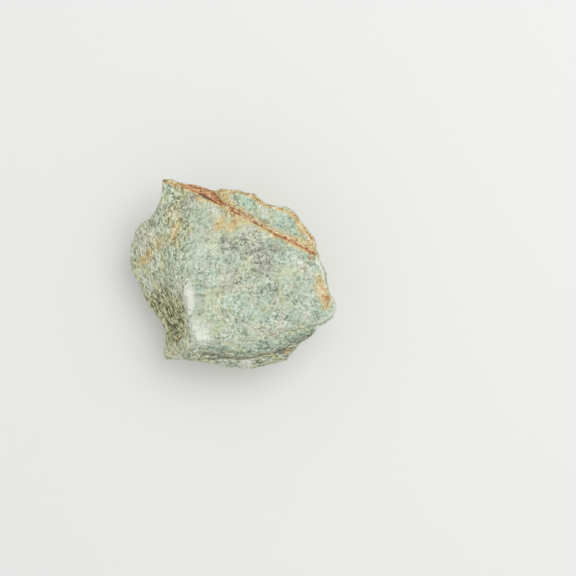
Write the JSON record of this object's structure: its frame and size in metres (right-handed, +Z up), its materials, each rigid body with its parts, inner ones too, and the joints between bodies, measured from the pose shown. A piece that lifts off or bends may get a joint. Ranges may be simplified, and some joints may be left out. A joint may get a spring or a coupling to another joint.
{
  "type": "raw green aventurine stone",
  "caption": "Rough palm-sized lump of pale green mica-bearing quartz rock with a broad split face, stepped ledges and a rust-stained crack; rests on a flat patch beneath.",
  "frame": {"origin": "middle of the stone's box in plan, on the surface that it rests on", "axes": "+Z up from the flat resting patch towards the broad split face, +X along the longest side towards the blunt right-hand corner, +Y across it towards the cracked side"},
  "size_m": [0.0886, 0.0806, 0.046],
  "materials": {
    "stone": "matte"
  },
  "bodies": {
    "root": {"stone": "stone"}
  },
  "joints": []
}
